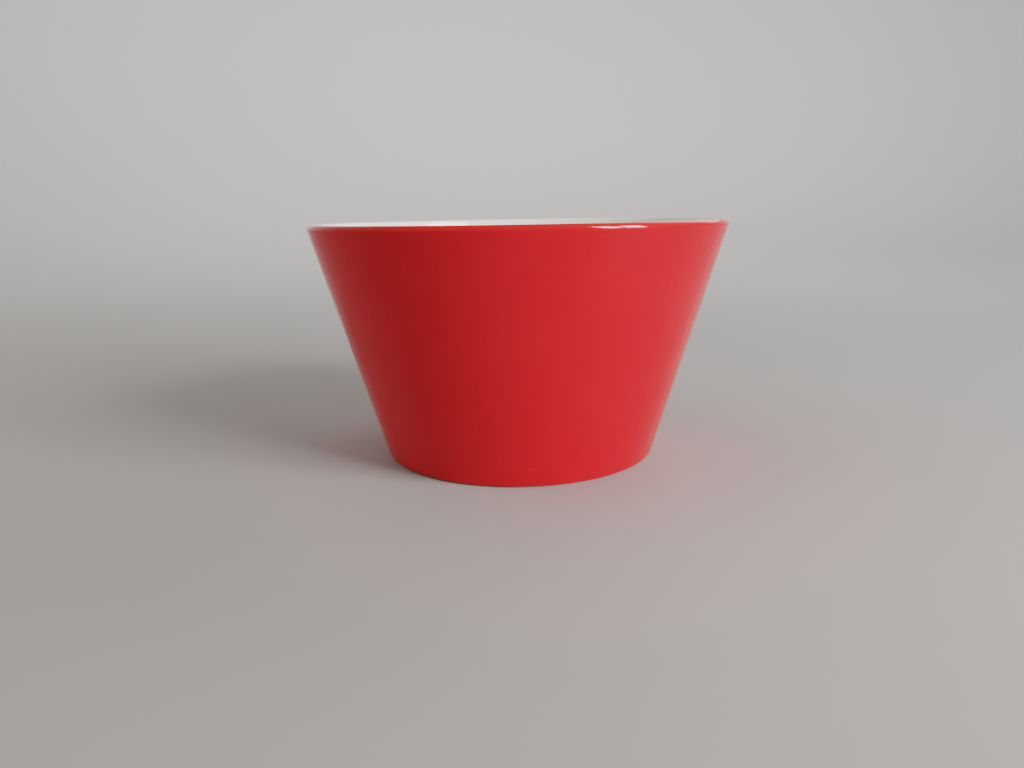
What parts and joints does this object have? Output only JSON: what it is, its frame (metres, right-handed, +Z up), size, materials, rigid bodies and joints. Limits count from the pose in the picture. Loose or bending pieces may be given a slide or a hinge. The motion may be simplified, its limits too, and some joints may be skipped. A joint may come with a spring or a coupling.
{
  "type": "bone china bowl",
  "caption": "Flared, straight-sided bowl of glazed bone china, red outside and white inside, on a flush foot ring.",
  "frame": {"origin": "middle of the foot, on the surface that the bowl stands on", "axes": "+Z up along the bowl's axis of turning, out of its mouth; X and Y are alike"},
  "size_m": [0.14, 0.14, 0.079],
  "materials": {
    "china": "fired bone china, ground matt on the foot face",
    "red_glaze": "glossy, even red glaze",
    "white_glaze": "glossy white glaze",
    "clear_glaze": "glossy clear glaze over the china"
  },
  "bodies": {
    "root": {"china_body": "china", "red_outer_glaze": "red_glaze", "white_inner_glaze": "white_glaze", "underside_glaze": "clear_glaze"}
  },
  "joints": []
}
